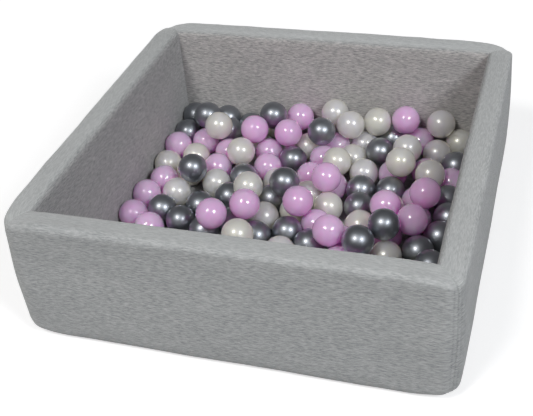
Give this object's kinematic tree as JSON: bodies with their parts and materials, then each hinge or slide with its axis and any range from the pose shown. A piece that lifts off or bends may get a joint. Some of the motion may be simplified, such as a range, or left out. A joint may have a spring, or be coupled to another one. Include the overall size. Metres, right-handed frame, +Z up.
{
  "type": "ball pit",
  "caption": "Square foam-walled ball pit in a sewn jersey cover with a hidden zip, filled with loose play balls in three colours.",
  "frame": {"origin": "centre of the underside", "axes": "+Z up, +X to the right along the front wall, +Y to the back wall with the zip"},
  "size_m": [0.9, 0.9052, 0.3],
  "materials": {
    "jersey": "light grey melange cotton jersey",
    "foam": "off-white foam",
    "zip_fabric": "grey woven tape and coil",
    "zip_metal": "satin",
    "ball_pink": "glossy orchid pink",
    "ball_pearl": "translucent pearl white",
    "ball_graphite": "metallic graphite",
    "ball_mixed": "the three ball finishes mixed"
  },
  "bodies": {
    "pit": {"cover_back": "jersey", "cover_floor": "jersey", "cover_front": "jersey", "cover_left": "jersey", "cover_right": "jersey", "cover_underside": "jersey", "foam_floor_pad": "foam", "foam_wall_back": "foam", "foam_wall_front": "foam", "foam_wall_left": "foam", "foam_wall_right": "foam", "zip_chain": "zip_fabric", "zip_stop_left": "zip_metal", "zip_stop_right": "zip_metal", "zip_tape_lower": "zip_fabric", "zip_tape_upper": "zip_fabric"},
    "ball_bed": {"ball_bed_1": "ball_mixed", "ball_bed_2": "ball_mixed", "ball_bed_3": "ball_mixed", "ball_bed_4": "ball_mixed", "ball_bed_5": "ball_mixed", "ball_bed_6": "ball_mixed", "ball_bed_7": "ball_mixed", "ball_bed_8": "ball_mixed"},
    "zip_slider": {"zip_slider": "zip_metal"},
    "zip_pull_tab": {"zip_pull_tab": "zip_metal"},
    "ball_graphite_01": {"ball_graphite_01": "ball_graphite"},
    "ball_graphite_02": {"ball_graphite_02": "ball_graphite"},
    "ball_graphite_03": {"ball_graphite_03": "ball_graphite"},
    "ball_graphite_04": {"ball_graphite_04": "ball_graphite"},
    "ball_graphite_05": {"ball_graphite_05": "ball_graphite"},
    "ball_graphite_06": {"ball_graphite_06": "ball_graphite"},
    "ball_graphite_07": {"ball_graphite_07": "ball_graphite"},
    "ball_graphite_08": {"ball_graphite_08": "ball_graphite"},
    "ball_graphite_09": {"ball_graphite_09": "ball_graphite"},
    "ball_pearl_01": {"ball_pearl_01": "ball_pearl"},
    "ball_pearl_02": {"ball_pearl_02": "ball_pearl"},
    "ball_pearl_03": {"ball_pearl_03": "ball_pearl"},
    "ball_pearl_04": {"ball_pearl_04": "ball_pearl"},
    "ball_pearl_05": {"ball_pearl_05": "ball_pearl"},
    "ball_pearl_06": {"ball_pearl_06": "ball_pearl"},
    "ball_pearl_07": {"ball_pearl_07": "ball_pearl"},
    "ball_pearl_08": {"ball_pearl_08": "ball_pearl"},
    "ball_pearl_09": {"ball_pearl_09": "ball_pearl"},
    "ball_pearl_10": {"ball_pearl_10": "ball_pearl"},
    "ball_pearl_11": {"ball_pearl_11": "ball_pearl"},
    "ball_pearl_12": {"ball_pearl_12": "ball_pearl"},
    "ball_pink_01": {"ball_pink_01": "ball_pink"},
    "ball_pink_02": {"ball_pink_02": "ball_pink"},
    "ball_pink_03": {"ball_pink_03": "ball_pink"},
    "ball_pink_04": {"ball_pink_04": "ball_pink"},
    "ball_pink_05": {"ball_pink_05": "ball_pink"},
    "ball_pink_06": {"ball_pink_06": "ball_pink"},
    "ball_pink_07": {"ball_pink_07": "ball_pink"},
    "ball_pink_08": {"ball_pink_08": "ball_pink"},
    "ball_pink_09": {"ball_pink_09": "ball_pink"},
    "ball_pink_10": {"ball_pink_10": "ball_pink"},
    "ball_pink_11": {"ball_pink_11": "ball_pink"},
    "ball_pink_12": {"ball_pink_12": "ball_pink"},
    "ball_pink_13": {"ball_pink_13": "ball_pink"}
  },
  "joints": [
    {"name": "ball_bed_lift", "type": "slide", "parent": "pit", "child": "ball_bed", "axis": [0, 0, 1], "range_m": [0, 0.36]},
    {"name": "zip_run", "type": "slide", "parent": "pit", "child": "zip_slider", "axis": [1, 0, 0], "range_m": [0, 0.6874]},
    {"name": "pull_tab_turn", "type": "hinge", "parent": "zip_slider", "child": "zip_pull_tab", "pos_m": [-0.3437, 0.4531, 0.048], "axis": [0, 0, 1], "range_deg": [0, 170]},
    {"name": "ball_graphite_01_lift", "type": "slide", "parent": "ball_bed", "child": "ball_graphite_01", "axis": [0, 0, 1], "range_m": [0, 0.3]},
    {"name": "ball_graphite_02_lift", "type": "slide", "parent": "ball_bed", "child": "ball_graphite_02", "axis": [0, 0, 1], "range_m": [0, 0.3]},
    {"name": "ball_graphite_03_lift", "type": "slide", "parent": "ball_bed", "child": "ball_graphite_03", "axis": [0, 0, 1], "range_m": [0, 0.3]},
    {"name": "ball_graphite_04_lift", "type": "slide", "parent": "ball_bed", "child": "ball_graphite_04", "axis": [0, 0, 1], "range_m": [0, 0.3]},
    {"name": "ball_graphite_05_lift", "type": "slide", "parent": "ball_bed", "child": "ball_graphite_05", "axis": [0, 0, 1], "range_m": [0, 0.3]},
    {"name": "ball_graphite_06_lift", "type": "slide", "parent": "ball_bed", "child": "ball_graphite_06", "axis": [0, 0, 1], "range_m": [0, 0.3]},
    {"name": "ball_graphite_07_lift", "type": "slide", "parent": "ball_bed", "child": "ball_graphite_07", "axis": [0, 0, 1], "range_m": [0, 0.3]},
    {"name": "ball_graphite_08_lift", "type": "slide", "parent": "ball_bed", "child": "ball_graphite_08", "axis": [0, 0, 1], "range_m": [0, 0.3]},
    {"name": "ball_graphite_09_lift", "type": "slide", "parent": "ball_bed", "child": "ball_graphite_09", "axis": [0, 0, 1], "range_m": [0, 0.3]},
    {"name": "ball_pearl_01_lift", "type": "slide", "parent": "ball_bed", "child": "ball_pearl_01", "axis": [0, 0, 1], "range_m": [0, 0.3]},
    {"name": "ball_pearl_02_lift", "type": "slide", "parent": "ball_bed", "child": "ball_pearl_02", "axis": [0, 0, 1], "range_m": [0, 0.3]},
    {"name": "ball_pearl_03_lift", "type": "slide", "parent": "ball_bed", "child": "ball_pearl_03", "axis": [0, 0, 1], "range_m": [0, 0.3]},
    {"name": "ball_pearl_04_lift", "type": "slide", "parent": "ball_bed", "child": "ball_pearl_04", "axis": [0, 0, 1], "range_m": [0, 0.3]},
    {"name": "ball_pearl_05_lift", "type": "slide", "parent": "ball_bed", "child": "ball_pearl_05", "axis": [0, 0, 1], "range_m": [0, 0.3]},
    {"name": "ball_pearl_06_lift", "type": "slide", "parent": "ball_bed", "child": "ball_pearl_06", "axis": [0, 0, 1], "range_m": [0, 0.3]},
    {"name": "ball_pearl_07_lift", "type": "slide", "parent": "ball_bed", "child": "ball_pearl_07", "axis": [0, 0, 1], "range_m": [0, 0.3]},
    {"name": "ball_pearl_08_lift", "type": "slide", "parent": "ball_bed", "child": "ball_pearl_08", "axis": [0, 0, 1], "range_m": [0, 0.3]},
    {"name": "ball_pearl_09_lift", "type": "slide", "parent": "ball_bed", "child": "ball_pearl_09", "axis": [0, 0, 1], "range_m": [0, 0.3]},
    {"name": "ball_pearl_10_lift", "type": "slide", "parent": "ball_bed", "child": "ball_pearl_10", "axis": [0, 0, 1], "range_m": [0, 0.3]},
    {"name": "ball_pearl_11_lift", "type": "slide", "parent": "ball_bed", "child": "ball_pearl_11", "axis": [0, 0, 1], "range_m": [0, 0.3]},
    {"name": "ball_pearl_12_lift", "type": "slide", "parent": "ball_bed", "child": "ball_pearl_12", "axis": [0, 0, 1], "range_m": [0, 0.3]},
    {"name": "ball_pink_01_lift", "type": "slide", "parent": "ball_bed", "child": "ball_pink_01", "axis": [0, 0, 1], "range_m": [0, 0.3]},
    {"name": "ball_pink_02_lift", "type": "slide", "parent": "ball_bed", "child": "ball_pink_02", "axis": [0, 0, 1], "range_m": [0, 0.3]},
    {"name": "ball_pink_03_lift", "type": "slide", "parent": "ball_bed", "child": "ball_pink_03", "axis": [0, 0, 1], "range_m": [0, 0.3]},
    {"name": "ball_pink_04_lift", "type": "slide", "parent": "ball_bed", "child": "ball_pink_04", "axis": [0, 0, 1], "range_m": [0, 0.3]},
    {"name": "ball_pink_05_lift", "type": "slide", "parent": "ball_bed", "child": "ball_pink_05", "axis": [0, 0, 1], "range_m": [0, 0.3]},
    {"name": "ball_pink_06_lift", "type": "slide", "parent": "ball_bed", "child": "ball_pink_06", "axis": [0, 0, 1], "range_m": [0, 0.3]},
    {"name": "ball_pink_07_lift", "type": "slide", "parent": "ball_bed", "child": "ball_pink_07", "axis": [0, 0, 1], "range_m": [0, 0.3]},
    {"name": "ball_pink_08_lift", "type": "slide", "parent": "ball_bed", "child": "ball_pink_08", "axis": [0, 0, 1], "range_m": [0, 0.3]},
    {"name": "ball_pink_09_lift", "type": "slide", "parent": "ball_bed", "child": "ball_pink_09", "axis": [0, 0, 1], "range_m": [0, 0.3]},
    {"name": "ball_pink_10_lift", "type": "slide", "parent": "ball_bed", "child": "ball_pink_10", "axis": [0, 0, 1], "range_m": [0, 0.3]},
    {"name": "ball_pink_11_lift", "type": "slide", "parent": "ball_bed", "child": "ball_pink_11", "axis": [0, 0, 1], "range_m": [0, 0.3]},
    {"name": "ball_pink_12_lift", "type": "slide", "parent": "ball_bed", "child": "ball_pink_12", "axis": [0, 0, 1], "range_m": [0, 0.3]},
    {"name": "ball_pink_13_lift", "type": "slide", "parent": "ball_bed", "child": "ball_pink_13", "axis": [0, 0, 1], "range_m": [0, 0.3]}
  ]
}
